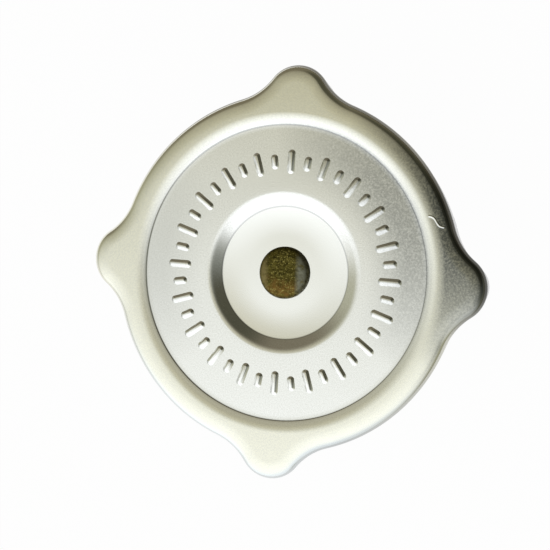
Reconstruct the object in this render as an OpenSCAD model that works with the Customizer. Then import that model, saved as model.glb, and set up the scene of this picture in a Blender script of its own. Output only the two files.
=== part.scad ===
// Pressure cap for a radiator filler neck: a four-lobed pressed shell on a swivelling valve stack.
// Millimetres. The axis is Z, the cap stands on its pressure seal at Z = 0, the lobes lie on X and Y.

/* [Shell] */
// Radius of the round rim between the lobes
rim_r = 31; // [29.5:0.1:36]
// How far a lobe stands out from the round rim
lobe_stand = 4.7; // [3.5:0.1:6]
// Radius of the arc at a lobe's tip
lobe_tip_r = 5.8; // [4.5:0.1:7]
// Radius of the hollow arc between a lobe and the rim
lobe_flank_r = 11; // [8:0.5:16]
// Radius of the rolled edge where it turns into the skirt
roll_r = 1.3; // [1.2:0.1:3]
// Radius of the gentler arc between the crown and the rolled edge
crown_r = 14; // [6:0.5:20]
// Angle that the gentler arc turns through
crown_angle = 8; // [4:1:20]
// Height of the shell from its lower edge to its crown
shell_h = 10.8; // [9:0.1:14]
// How far the skirt is drawn in at its lower edge
skirt_draw = 1.8; // [0.5:0.1:2]
// Thickness of the shell's steel
shell_t = 0.9; // [0.6:0.1:1.2]

/* [Face and dish] */
// Width of the flat crown between the rolled edge and the face's shoulder
crown_w = 0.4; // [0.3:0.1:2]
// Depth of the face below the crown
face_depth = 0.43; // [0.3:0.01:1.2]
// Height of the small sharp step at the face's edge
face_step = 0.15; // [0.05:0.05:0.25]
// Radius of the shoulder that leads down to that step
face_shoulder_r = 7.5; // [3:0.1:12]
// Radius of the dish at the foot of its wall
dish_r = 11.45; // [9:0.05:14]
// Depth of the dish below the face
dish_depth = 1.05; // [0.7:0.05:1.6]
// Radius of the shoulder that leads down into the dish
dish_shoulder_r = 4.4; // [2.5:0.1:5]
// Width of the dish floor's outer band, which rises a little
floor_band_w = 2.75; // [1.5:0.05:3.5]
// Rise of that band
floor_rise = 0.2; // [0.05:0.05:0.4]

/* [Bayonet lugs] */
// Angle that one lug spans
lug_span = 40; // [20:1:46]
// Radial length of a lug from the skirt's inner face
lug_reach = 2.3; // [1.5:0.1:4]
// Outer radius of the fold between skirt and lug
lug_fold_r = 1.8; // [1.3:0.1:2.5]
// Width of the relief slot beside a lug
lug_relief = 0.8; // [0.5:0.1:1.2]

/* [Rivet and swivel] */
// Radius of the rivet's shank
rivet_r = 3.0; // [2:0.1:3.5]
// Radius of the rivet's head and of its formed tail
head_r = 4.5; // [4:0.1:5.5]
// Height of the straight edge of the rivet's head
head_edge = 0.35; // [0.2:0.05:0.6]
// Height of the dome on the rivet's head
head_dome = 0.85; // [0.5:0.05:1.4]
// Thickness of the rivet's formed tail
tail_t = 1.2; // [0.8:0.1:1.8]
// Thickness of the swivel washer
washer_t = 0.5; // [0.3:0.1:1]
// Width of the swivel washer
washer_w = 4.7; // [3:0.1:5]

/* [Diaphragm and lip gasket] */
// Distance from the lip gasket down to the pressure seal's lower face
lip_reach = 22; // [20:0.5:28]
// Thickness of the lip gasket
gasket_t = 1.6; // [1:0.1:2.5]
// Width of the lip gasket's ring
gasket_w = 6.1; // [4:0.1:7]
// Thickness of the diaphragm
diaphragm_t = 0.35; // [0.2:0.05:0.6]
// Drop from the diaphragm's centre to its rim
diaphragm_drop = 0.8; // [0.4:0.1:1.2]
// Width of the diaphragm's sloping band
diaphragm_slope_w = 3; // [2:0.1:4]

/* [Bell and pressure spring] */
// Outer radius of the bell's tube
bell_r = 10.7; // [9.5:0.1:11.5]
// Thickness of the steel of the bell, the spring seat and the pressure plate
press_t = 0.8; // [0.5:0.1:1]
// Width of the bell's inward lip, from the tube's inner face
bell_lip_w = 1.3; // [1:0.1:2]
// Radius of a vent hole in the bell
vent_r = 1.6; // [1:0.1:2]
// Mean radius of the pressure spring's coils
spring_r = 13.4; // [13.2:0.1:15]
// Wire diameter of the pressure spring
spring_wire = 2.6; // [2:0.1:2.8]
// Turns of the pressure spring, closed ends included
spring_turns = 5; // [4.5:0.5:5.5]
// Depth of the spring seat's rim
seat_rim_h = 1.5; // [1:0.1:3]

/* [Pressure valve] */
// Radius of the pressure seal
seal_r = 20.5; // [19:0.1:21.5]
// Thickness of the pressure seal
seal_t = 3; // [2.5:0.1:4]
// Width that the seal stands out past the plate
seal_margin = 1; // [0.5:0.1:1.5]
// Height of the plate's step, which centres the spring
plate_step = 0.8; // [0.6:0.1:1.2]
// Travel of the pressure valve
lift_travel = 4; // [3:0.5:5]
// Width of the retainer's flange, from the seal's bore outwards
retainer_flange_w = 4.8; // [3.5:0.1:5.5]
// Thickness of the retainer's steel
retainer_t = 0.7; // [0.5:0.1:0.9]
// Height of the retainer's flange above the seal's lower face
retainer_recess = 0.4; // [0.2:0.1:0.6]

/* [Vacuum valve] */
// Height of the vacuum seat above the retainer's flange
vacuum_seat_h = 5.2; // [4.8:0.1:6]
// Radius of the poppet's disc
poppet_r = 5.5; // [5:0.1:6]
// Thickness of the poppet's disc
poppet_t = 0.9; // [0.6:0.1:1.2]
// Radius of the poppet's stem
stem_r = 1.1; // [0.8:0.1:1.4]
// Thickness of the vacuum seal
vacuum_seal_t = 0.7; // [0.5:0.1:1]
// Mean radius of the vacuum spring's coils
vacuum_spring_r = 3.7; // [3.2:0.1:4.2]
// Wire diameter of the vacuum spring
vacuum_wire = 0.5; // [0.4:0.05:0.6]
// Length of the vacuum spring at rest
vacuum_spring_l = 4.7; // [4.2:0.1:6]
// Turns of the vacuum spring, closed ends included
vacuum_turns = 5; // [4:0.5:6]
// Thickness of the stem cap
stem_cap_t = 0.5; // [0.3:0.1:0.7]
// Depth of the stem cap's rim
stem_cap_rim = 0.8; // [0.5:0.1:1.2]

/* [Clearances] */
// Radial clearance of a part that turns or is pushed on
running_fit = 0.05; // [0.02:0.01:0.1]
// Axial play of the shell on the rivet, on each side
swivel_play = 0.05; // [0.02:0.01:0.2]
// Clearance of a part that slides or lies loosely
slide_gap = 0.4; // [0.3:0.05:0.6]
// Gap at a spring's end and at a seat that only rests
seat_gap = 0.02; // [0.01:0.01:0.1]

/* [Hidden] */
$fn = 96;

STEEL = [0.80, 0.81, 0.78];
SPRING_STEEL = [0.62, 0.63, 0.64];
BRASS = [0.50, 0.44, 0.24];
RUBBER = [0.09, 0.09, 0.10];

LOBES = 4;
LUGS = 2;
VENTS = 4;
ARC_STEPS = 5;
CROWN_STEPS = 3;
lobe_pitch = 360 / LOBES;

// Heights, from the pressure seal upwards
plate_top_z = seal_t + press_t;
step_top_z = plate_top_z + plate_step;
rim_under_z = lip_reach + gasket_t;
stack_z = rim_under_z + diaphragm_drop;
washer_z = stack_z + diaphragm_t;
floor_under_z = washer_z + washer_t + swivel_play;
floor_z = floor_under_z + shell_t;
face_z = floor_z + dish_depth;
crown_z = face_z + face_depth;
skirt_z = crown_z - shell_h;
roll_z = crown_z - crown_r * (1 - cos(crown_angle)) - roll_r * cos(crown_angle);
head_z = floor_z + swivel_play;
seat_under_z = stack_z - press_t;
bell_under_z = seat_under_z - press_t;
bell_foot_z = step_top_z + lift_travel + slide_gap;
collar_top_z = bell_foot_z + 2 * press_t + seat_gap;
flange_top_z = retainer_recess + retainer_t;
vacuum_seat_z = retainer_recess + vacuum_seat_h;
web_top_z = vacuum_seat_z + retainer_t;
poppet_top_z = vacuum_seat_z - seat_gap - vacuum_seal_t;
stem_cap_z = web_top_z + vacuum_spring_l;

// Radii of the shell
inner_skirt_r = rim_r - skirt_draw - shell_t;
roll_w = roll_r * (1 - sin(crown_angle)) + crown_r * sin(crown_angle);
crest_r = rim_r - roll_w - crown_w;
face_slope = acos(1 - (face_depth - face_step) / face_shoulder_r);
dish_slope = acos(1 - (dish_depth - floor_rise) / dish_shoulder_r);
dish_out_r = dish_r + dish_shoulder_r * sin(dish_slope);
crown_lap = crown_w / 4;
join_r = crest_r + crown_w / 2;
lug_inner_r = inner_skirt_r - lug_reach;
lug_lap = 0.5;
lug_inset = 0.1;
swivel_hole_r = rivet_r + running_fit;

// The lobes' outline: tip, flank and rim arcs, each tangent to the next
tip_centre_r = rim_r + lobe_stand - lobe_tip_r;
flank_centre_r = rim_r + lobe_flank_r;
flank_angle = acos((pow(flank_centre_r, 2) + pow(tip_centre_r, 2) - pow(lobe_tip_r + lobe_flank_r, 2))
                   / (2 * flank_centre_r * tip_centre_r));
flank_centre = flank_centre_r * [cos(flank_angle), sin(flank_angle)];
tip_half_angle = atan2(flank_centre.y, flank_centre.x - tip_centre_r);

// Radii of the valve stack
spring_out_r = spring_r + spring_wire / 2;
spring_in_r = spring_r - spring_wire / 2;
seat_out_r = spring_out_r + slide_gap + press_t;
diaphragm_flat_r = seat_out_r + slide_gap;
diaphragm_rim_r = diaphragm_flat_r + diaphragm_slope_w;
gasket_in_r = diaphragm_rim_r + slide_gap;
gasket_out_r = gasket_in_r + gasket_w;
diaphragm_r = gasket_out_r + slide_gap / 2;
bell_in_r = bell_r - press_t;
bell_lip_r = bell_in_r - bell_lip_w;
collar_in_r = bell_lip_r - slide_gap - press_t;
collar_lip_r = bell_in_r - slide_gap;
plate_r = seal_r - seal_margin;
step_foot_r = spring_in_r - 2 * slide_gap;
step_head_r = step_foot_r - plate_step;
seal_bore_r = collar_in_r + running_fit;
retainer_in_r = collar_in_r - running_fit - retainer_t;
retainer_flange_r = seal_bore_r + retainer_flange_w;
spring_land = 0.4;
web_hole_r = vacuum_spring_r - vacuum_wire / 2 - spring_land;
vacuum_seal_r = poppet_r - spring_land;
stem_cap_r = vacuum_spring_r + vacuum_wire / 2 + running_fit + stem_cap_t;
stem_head_r = stem_r + 0.6;
stem_head_t = 0.45;

// Small edge and bend radii
rubber_edge = 0.4;
bend_room = 0.5;

function unit(v) = v / norm(v);
function polar(r, a) = r * [cos(a), sin(a)];
function turned(p, a) = [p.x * cos(a) - p.y * sin(a), p.x * sin(a) + p.y * cos(a)];
function all_but_last(list) = [for (i = [0:len(list) - 2]) list[i]];
function reversed(list) = [for (i = [len(list) - 1:-1:0]) list[i]];

// Points along an arc about c, both ends included
function arc(c, r, from, to, steps = ARC_STEPS) =
    [for (i = [0:steps]) c + polar(r, from + (to - from) * i / steps)];

// The arc that rounds corner b between a and c, or b itself where the radius is 0
function rounded_corner(a, b, c, r) =
    r == 0 ? [b] :
    let (u = unit(a - b), v = unit(c - b), half = acos(u * v) / 2,
         centre = b + unit(u + v) * r / sin(half),
         first = b + u * r / tan(half) - centre,
         last = b + v * r / tan(half) - centre,
         from = atan2(first.y, first.x),
         swing = atan2(last.y, last.x) - from,
         turn = swing > 180 ? swing - 360 : swing < -180 ? swing + 360 : swing)
    arc(centre, r, from, from + turn);

// A path of [r, z, bend radius] points with its inner corners rounded
function bent(path) =
    let (p = [for (q = path) [q[0], q[1]]], last = len(p) - 1)
    [for (i = [0:last])
        each i == 0 || i == last ? [p[i]] : rounded_corner(p[i - 1], p[i], p[i + 1], path[i][2])];

// A path moved to its right by t, with mitred corners
function moved_right(path, t) =
    let (last = len(path) - 1,
         side = [for (i = [0:last - 1]) let (d = unit(path[i + 1] - path[i])) [d.y, -d.x]])
    [for (i = [0:last])
        let (a = side[max(i - 1, 0)], b = side[min(i, last - 1)])
        path[i] + (a + b) / (1 + a * b) * t];

// A sheet of thickness t to the right of a path in the [r, z] half plane, turned about the axis
module pressing(path, t, span = 360) {
    rotate_extrude(angle = span)
        polygon(concat(path, reversed(moved_right(path, t))));
}

// A flat ring with rounded edges
module ring(inner, outer, z, h, edge = 0) {
    corners = [[inner, z], [outer, z], [outer, z + h], [inner, z + h]];
    rotate_extrude()
        polygon([for (i = [0:3])
            each rounded_corner(corners[(i + 3) % 4], corners[i], corners[(i + 1) % 4], edge)]);
}

// A closed skin over rings of points that share one count; the rings run round a section or along a
// path, which is closed on itself or capped at its ends
module skin(rings, closed) {
    count = len(rings[0]);
    spans = closed ? len(rings) : len(rings) - 1;
    sides = [for (j = [0:spans - 1], i = [0:count - 1])
        let (k = (j + 1) % len(rings), n = (i + 1) % count,
             a = j * count + i, b = j * count + n, c = k * count + n, d = k * count + i)
        each [[a, b, c], [a, c, d]]];
    caps = closed ? [] : [[for (i = [count - 1:-1:0]) i],
                          [for (i = [0:count - 1]) (len(rings) - 1) * count + i]];
    polyhedron([for (ring = rings) each ring], concat(sides, caps), convexity = 10);
}

// Half of a lobe that points along X, d inside the outline: rim, flank and tip arcs
function half_lobe(d) =
    concat(
        all_but_last(arc([0, 0], rim_r - d, lobe_pitch / 2, flank_angle)),
        all_but_last(arc(flank_centre, lobe_flank_r + d, 180 + flank_angle, 180 + tip_half_angle)),
        arc([tip_centre_r, 0], lobe_tip_r - d, tip_half_angle, 0));

// The whole outline, d inside, anticlockwise at height z
function outline(d, z) =
    let (half = half_lobe(d),
         lobe = concat([for (p = half) [p.x, -p.y]],
                       [for (i = [len(half) - 2:-1:1]) half[i]]))
    [for (k = [0:LOBES - 1], p = lobe)
        let (q = turned(p, k * lobe_pitch)) [q.x, q.y, z]];

// A circle whose points lie at the same angles as the outline's
function crown_circle(r, z) =
    [for (p = outline(roll_w, z)) let (q = r * unit([p.x, p.y])) [q.x, q.y, z]];

// Rings of the rolled edge from the crown outwards, at a depth below the sheet's outer face
function roll_rings(depth) =
    let (crown = arc([-roll_w, crown_z - crown_r], crown_r - depth, 90, 90 - crown_angle, CROWN_STEPS),
         edge = arc([-roll_r, roll_z], roll_r - depth, 90 - crown_angle, 0))
    [for (p = concat(all_but_last(crown), edge)) outline(-p.x, p.y)];

// The rolled rim with its skirt, one sheet carried round the lobed outline
module lobed_rim() {
    skin(concat([crown_circle(join_r - crown_lap, crown_z)],
                roll_rings(0),
                [outline(skirt_draw, skirt_z), outline(skirt_draw + shell_t, skirt_z)],
                reversed(roll_rings(shell_t)),
                [crown_circle(join_r - crown_lap, crown_z - shell_t)]),
         closed = true);
}

// Crown, face and dish, drawn as one sheet from the rivet hole outwards
module drawn_face() {
    dish_wall = arc([dish_out_r, face_z - dish_shoulder_r], dish_shoulder_r, 90 + dish_slope, 90);
    face_wall = arc([crest_r, crown_z - face_shoulder_r], face_shoulder_r, 90 + face_slope, 90);
    face_edge = face_wall[0] - face_step * [1, 1];
    pressing(concat([[swivel_hole_r, floor_z], [dish_r - floor_band_w, floor_z]],
                    dish_wall, [face_edge], face_wall, [[join_r + crown_lap, crown_z]]),
             shell_t);
}

// Turns its children to the middle of each gap that holds a lug
module at_lugs(span) {
    for (i = [0:LUGS - 1])
        rotate([0, 0, lobe_pitch / 2 + i * 360 / LUGS - span / 2]) children();
}

module lug_cut() {
    span = lug_span + 2 * lug_relief / rim_r * 180 / PI;
    at_lugs(span)
        rotate_extrude(angle = span)
            translate([inner_skirt_r - 1, skirt_z - 1])
                square([shell_t + skirt_draw + 2, lug_fold_r + 1]);
}

// Radius of the skirt's outer face at height z
function skirt_r(z) = rim_r - skirt_draw * (roll_z - z) / (roll_z - skirt_z);

// The lugs start a little inside the skirt's outer face, as a fold does
module lugs() {
    top_z = skirt_z + lug_fold_r + lug_lap;
    at_lugs(lug_span)
        pressing(bent([[skirt_r(top_z) - lug_inset, top_z],
                       [skirt_r(skirt_z) - lug_inset, skirt_z, lug_fold_r],
                       [lug_inner_r, skirt_z]]),
                 shell_t, lug_span);
}

module cap_shell() {
    color(STEEL) {
        difference() {
            union() {
                lobed_rim();
                drawn_face();
            }
            lug_cut();
        }
        lugs();
    }
}

// A dome of radius r and height h that starts at height z, from its edge to its top
function dome(r, h, z) =
    let (ball_r = (r * r + h * h) / (2 * h), edge = asin(r / ball_r))
    arc([0, z + h - ball_r], ball_r, 90 - edge, 90, 2 * ARC_STEPS);

module centre_rivet() {
    tail_edge = tail_t / 2;
    tail = [for (p = dome(head_r, tail_t - tail_edge, 0)) [p.x, bell_under_z - tail_edge - p.y]];
    color(BRASS)
        rotate_extrude()
            polygon(concat(reversed(tail), [[head_r, bell_under_z], [rivet_r, bell_under_z],
                                            [rivet_r, head_z], [head_r, head_z]],
                           dome(head_r, head_dome, head_z + head_edge)));
}

module swivel_washer() {
    color(STEEL) ring(swivel_hole_r, swivel_hole_r + washer_w, washer_z, washer_t);
}

module spring_diaphragm() {
    color(SPRING_STEEL)
        pressing([[swivel_hole_r, washer_z], [diaphragm_flat_r, washer_z],
                  [diaphragm_rim_r, washer_z - diaphragm_drop],
                  [diaphragm_r, washer_z - diaphragm_drop]],
                 diaphragm_t);
}

module lip_gasket() {
    color(RUBBER) ring(gasket_in_r, gasket_out_r, lip_reach, gasket_t, rubber_edge);
}

module spring_seat() {
    color(STEEL)
        pressing(bent([[swivel_hole_r, stack_z], [seat_out_r, stack_z, press_t + bend_room],
                       [seat_out_r, seat_under_z - seat_rim_h]]),
                 press_t);
}

module bell_housing() {
    bend_r = press_t + bend_room;
    color(STEEL)
        difference() {
            pressing(bent([[swivel_hole_r, seat_under_z], [bell_r, seat_under_z, 1.5 * bend_r],
                           [bell_r, bell_foot_z, press_t + slide_gap], [bell_lip_r, bell_foot_z]]),
                     press_t);
            for (i = [0:VENTS - 1])
                rotate([0, 90, 360 / VENTS * i])
                    translate([-(bell_foot_z + seat_under_z) / 2, 0, bell_in_r - 1])
                        cylinder(r = vent_r, h = press_t + 2);
        }
}

// Height of a coil's wire after u turns: a closed turn at each end, even pitch between
function coil_z(u, turns, low, high, closed_pitch) =
    u < 1 ? low + u * closed_pitch :
    u > turns - 1 ? high - (turns - u) * closed_pitch :
    low + closed_pitch + (high - low - 2 * closed_pitch) * (u - 1) / (turns - 2);

// A coil spring between two heights, its ends ground flat
module coil(mean_r, wire, turns, z0, z1, sides, steps) {
    sunk = 0.3 * wire;
    closed_pitch = 1.08 * wire;
    rings = [for (i = [0:turns * steps])
        let (u = i / steps, a = 360 * u, z = coil_z(u, turns, z0 + sunk, z1 - sunk, closed_pitch))
        [for (j = [0:sides - 1])
            let (p = [mean_r, z] + polar(wire / 2, 360 * j / sides))
            [p.x * cos(a), p.x * sin(a), p.y]]];
    intersection() {
        skin(rings, closed = false);
        translate([0, 0, z0]) cylinder(r = mean_r + wire, h = z1 - z0);
    }
}

module pressure_spring() {
    color(SPRING_STEEL)
        coil(spring_r, spring_wire, spring_turns, plate_top_z + seat_gap, seat_under_z - seat_gap, 10, 18);
}

module pressure_plate() {
    color(STEEL)
        pressing(bent([[plate_r, seal_t], [step_foot_r, seal_t, 0],
                       [step_head_r, seal_t + plate_step, 0],
                       [collar_in_r, seal_t + plate_step, press_t + bend_room],
                       [collar_in_r, collar_top_z, press_t + bend_room / 2],
                       [collar_lip_r, collar_top_z]]),
                 press_t);
}

module pressure_seal() {
    land_r = retainer_flange_r + slide_gap / 2;
    color(RUBBER)
        rotate_extrude()
            polygon(concat(
                [[land_r, 0]],
                rounded_corner([land_r, 0], [seal_r, 0], [seal_r, seal_t], rubber_edge),
                rounded_corner([seal_r, 0], [seal_r, seal_t], [step_foot_r, seal_t], rubber_edge),
                [[step_foot_r, seal_t], [step_head_r, seal_t + plate_step],
                 [seal_bore_r, seal_t + plate_step], [seal_bore_r, flange_top_z + bend_room],
                 [seal_bore_r + bend_room, flange_top_z], [land_r, flange_top_z]]));
}

module seal_retainer() {
    color(STEEL)
        pressing(bent([[retainer_flange_r, retainer_recess],
                       [retainer_in_r, retainer_recess, retainer_t + bend_room / 2],
                       [retainer_in_r, vacuum_seat_z, bend_room / 2],
                       [web_hole_r, vacuum_seat_z]]),
                 retainer_t);
}

module vacuum_poppet() {
    head_base_z = stem_cap_z + stem_cap_t;
    color(BRASS)
        rotate_extrude()
            polygon(concat([[0, poppet_top_z - poppet_t], [poppet_r, poppet_top_z - poppet_t],
                            [poppet_r, poppet_top_z], [stem_r, poppet_top_z],
                            [stem_r, head_base_z], [stem_head_r, head_base_z]],
                           dome(stem_head_r, stem_head_t, head_base_z)));
}

module vacuum_seal() {
    color(RUBBER) ring(stem_r + running_fit, vacuum_seal_r, poppet_top_z, vacuum_seal_t);
}

module vacuum_spring() {
    color(SPRING_STEEL)
        coil(vacuum_spring_r, vacuum_wire, vacuum_turns, web_top_z + seat_gap, stem_cap_z - seat_gap, 8, 14);
}

module stem_cap() {
    color(STEEL)
        pressing(bent([[stem_r + running_fit, stem_cap_z + stem_cap_t],
                       [stem_cap_r, stem_cap_z + stem_cap_t, stem_cap_t + running_fit],
                       [stem_cap_r, stem_cap_z - stem_cap_rim]]),
                 stem_cap_t);
}

cap_shell();
centre_rivet();
swivel_washer();
spring_diaphragm();
lip_gasket();
spring_seat();
bell_housing();
pressure_spring();
pressure_plate();
pressure_seal();
seal_retainer();
vacuum_poppet();
vacuum_seal();
vacuum_spring();
stem_cap();
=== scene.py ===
"""Looks of a radiator pressure cap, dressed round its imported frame.

Sizes are millimetres and angles degrees, in the frame's own axes: Z is the cap's axis and the floor is
Z = 0. Meshes are handed to Blender in metres.
"""

import logging
import math
from dataclasses import dataclass, field
from enum import Enum
from typing import Any

import bpy
import numpy as np
from mathutils import Matrix, Vector
from numpy.typing import NDArray


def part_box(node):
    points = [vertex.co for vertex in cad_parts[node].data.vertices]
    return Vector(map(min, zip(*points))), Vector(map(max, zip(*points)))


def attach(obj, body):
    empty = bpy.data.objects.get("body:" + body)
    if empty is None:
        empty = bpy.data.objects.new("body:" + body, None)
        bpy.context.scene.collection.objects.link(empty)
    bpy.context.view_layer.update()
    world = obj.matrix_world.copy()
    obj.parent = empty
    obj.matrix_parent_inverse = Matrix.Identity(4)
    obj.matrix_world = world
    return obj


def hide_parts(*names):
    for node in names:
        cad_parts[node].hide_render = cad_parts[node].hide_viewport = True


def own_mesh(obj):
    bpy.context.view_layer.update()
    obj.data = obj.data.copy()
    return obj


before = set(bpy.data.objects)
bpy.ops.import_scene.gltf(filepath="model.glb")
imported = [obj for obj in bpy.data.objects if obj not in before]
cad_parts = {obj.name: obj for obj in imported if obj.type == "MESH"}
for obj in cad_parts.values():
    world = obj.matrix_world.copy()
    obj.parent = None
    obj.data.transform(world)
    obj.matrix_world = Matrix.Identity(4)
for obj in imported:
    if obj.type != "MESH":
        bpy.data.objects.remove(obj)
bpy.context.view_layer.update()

Array = NDArray[np.float64]
Material = bpy.types.Material
Socket = bpy.types.NodeSocket
Outputs = bpy.types.bpy_prop_collection

LOG = logging.getLogger("radiator_cap")
MM = 0.001
SHARP_ANGLE = 32.0
PHOTO_SIDE = 550


class Body(Enum):
    """Bodies of the joints that new pieces ride on."""

    SHELL = "shell"
    BELL = "bell"
    PRESSURE_VALVE = "pressure_valve"


class Slot(Enum):
    """Material slots of the record that new pieces take."""

    PLATED = "plated_shell"
    SPRING = "spring_steel"
    BRASS = "brass"


def linear(code: str) -> tuple[float, ...]:
    """Linear light of an sRGB hex colour: ((c + 0.055) / 1.055) to the power 2.4, or c / 12.92 if dark."""
    c = np.array([int(code[i : i + 2], 16) for i in (1, 3, 5)]) / 255
    return (*np.where(c > 0.04045, ((c + 0.055) / 1.055) ** 2.4, c / 12.92).tolist(), 1.0)


def per_metre(size: float) -> float:
    """Pattern scale on Object coordinates for a detail of this size in millimetres."""
    return 1 / (size * MM)


def box_mm(node: str) -> tuple[Array, Array]:
    """Lowest and highest corner of a frame node, in millimetres."""
    low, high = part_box(node)
    return np.array(low) / MM, np.array(high) / MM


# Curves in a plane


def direction(angles: Any) -> Array:
    """Unit vectors (cos a, sin a) at angles in degrees."""
    turn = np.radians(angles)
    return np.stack([np.cos(turn), np.sin(turn)], axis=-1)


def unit(vectors: Array) -> Array:
    """Vectors divided by their lengths."""
    return vectors / np.linalg.norm(vectors, axis=-1, keepdims=True)


def arc(centre: tuple[float, float], radius: float, start: float, stop: float, steps: int) -> Array:
    """Even chords on a circle: the centre plus the radius times (cos a, sin a), both ends included."""
    return np.array(centre) + radius * direction(np.linspace(start, stop, steps + 1))


def filleted(corners: Any, radii: Any, steps: int, closed: bool = False) -> Array:
    """Rounds the corners of a line with tangent arcs.

    An arc's centre lies on the corner's bisector, radius / sin(half the corner's angle) away, and the
    points swing from one tangent point to the other at an even rate.

    Args:
        corners: Corner points of the line.
        radii: A radius above 0 for each corner that is rounded: all of them on a closed line, or all but
            the ends.
        steps: Chords per arc.
        closed: Whether the last corner joins the first.

    Returns:
        The points of the rounded line.
    """
    points = np.asarray(corners, float)
    before, here, after = np.roll(points, 1, 0), points, np.roll(points, -1, 0)
    if not closed:
        before, here, after = before[1:-1], here[1:-1], after[1:-1]
    u, v = unit(before - here), unit(after - here)
    half = np.arccos(np.clip((u * v).sum(-1, keepdims=True), -1, 1)) / 2
    radius = np.asarray(radii, float)[:, None]
    centre = here + unit(u + v) * radius / np.sin(half)
    first = here + u * radius / np.tan(half) - centre
    last = here + v * radius / np.tan(half) - centre
    swing = (np.pi - 2 * half)[:, None]
    share = np.linspace(0, 1, steps + 1)[None, :, None]
    spoke = np.sin((1 - share) * swing) * first[:, None] + np.sin(share * swing) * last[:, None]
    rounded = (centre[:, None] + spoke / np.sin(swing)).reshape(-1, 2)
    return rounded if closed else np.vstack([points[:1], rounded, points[-1:]])


def subdivided(path: Array, step: float) -> Array:
    """Splits the chords of a path that are longer than a step into equal shares.

    Args:
        path: Points of the path.
        step: Longest chord that is kept.

    Returns:
        The old points with the new ones between them.
    """
    chord = np.linalg.norm(np.diff(path, axis=0), axis=1)
    count = np.maximum(np.ceil(chord / step).astype(int), 1)
    index = np.repeat(np.arange(len(count)), count)
    share = (np.arange(count.sum()) - np.repeat(np.cumsum(count) - count, count)) / count[index]
    return np.vstack([path[index] + share[:, None] * (path[index + 1] - path[index]), path[-1:]])


def moved_right(path: Array, distance: float) -> Array:
    """Moves a path to its right by a distance, with mitred corners.

    A corner moves along the sum of its two chords' right-hand normals, divided by 1 + their product.

    Args:
        path: Points of the path.
        distance: How far it moves.

    Returns:
        The moved points.
    """
    chord = unit(np.diff(path, axis=0))
    side = np.stack([chord[:, 1], -chord[:, 0]], axis=1)
    before, after = np.vstack([side[:1], side]), np.vstack([side, side[-1:]])
    return path + (before + after) / (1 + (before * after).sum(1, keepdims=True)) * distance


def lumps(x: Array, y: Array, size: float, seed: int) -> Array:
    """Smooth unevenness between 0 and 1 over a plane.

    Random heights stand on a square lattice, and a point takes a mean of its four neighbours with the
    weights 3t^2 - 2t^3 of its place between them.

    Args:
        x: First coordinate.
        y: Second coordinate.
        size: Spacing of the lattice.
        seed: Seed of the random heights.

    Returns:
        Heights of the shape of x.
    """
    count = 64
    table = np.random.default_rng(seed).random((count, count))
    at = np.stack([x, y]) / size + count / 2
    low = np.floor(at).astype(int)
    share = at - low
    wx, wy = share * share * (3 - 2 * share)
    ix, iy = low % count
    jx, jy = (low + 1) % count
    near = table[ix, iy] * (1 - wx) + table[jx, iy] * wx
    far = table[ix, jy] * (1 - wx) + table[jx, jy] * wx
    return near * (1 - wy) + far * wy


# Surfaces


@dataclass
class Surface:
    """A skin of points in millimetres and the faces on them, one array for each number of corners."""

    points: Array
    faces: list[NDArray[np.int64]]

    @classmethod
    def grid(cls, plan: Array, height: Array, closed_rows: bool) -> "Surface":
        """Skins a grid of points whose rows are closed loops.

        Args:
            plan: Places (x, y), of the shape (rows, columns, 2).
            height: Heights, of a shape that can be spread over (rows, columns).
            closed_rows: Whether the last row joins the first; if not, a face closes each end.

        Returns:
            The closed skin, its faces outwards.
        """
        rows, columns = plan.shape[:2]
        points = np.dstack([plan, np.broadcast_to(height, (rows, columns))])
        i = np.arange(rows if closed_rows else rows - 1)[:, None]
        j = np.arange(columns)[None, :]
        k, n = (i + 1) % rows, (j + 1) % columns
        corners = np.broadcast_arrays(i * columns + j, i * columns + n, k * columns + n, k * columns + j)
        faces = [np.stack(corners, axis=-1).reshape(-1, 4)]
        if not closed_rows:
            ring = np.arange(columns)
            faces.append(np.stack([ring[::-1], ring + (rows - 1) * columns]))
        return cls(points.reshape(-1, 3), faces).outwards()

    @classmethod
    def lathe(cls, profile: Array, columns: int) -> "Surface":
        """Turns a profile, from axis to axis, about Z: a point (r, z) goes to (r cos a, r sin a, z)."""
        spoke = direction(np.arange(columns) * 360 / columns)
        return cls.grid(profile[:, None, :1] * spoke[None], profile[:, 1:], closed_rows=False)

    @classmethod
    def joined(cls, surfaces: list["Surface"]) -> "Surface":
        """Puts several skins into one, each with its own points.

        Args:
            surfaces: The skins.

        Returns:
            One skin.
        """
        starts = np.cumsum([0] + [len(s.points) for s in surfaces])
        faces = [f + start for s, start in zip(surfaces, starts) for f in s.faces]
        return cls(np.vstack([s.points for s in surfaces]), faces)

    def outwards(self) -> "Surface":
        """Turns the faces outwards: the volume they enclose, summed as a . (b x c) / 6, is above 0.

        Returns:
            The skin, its faces outwards.
        """
        volume = 0.0
        for face in self.faces:
            a, b, c = self.points[face[:, :1]], self.points[face[:, 1:-1]], self.points[face[:, 2:]]
            volume += (a * np.cross(b, c)).sum()
        return self if volume > 0 else Surface(self.points, [f[:, ::-1] for f in self.faces])


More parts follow.
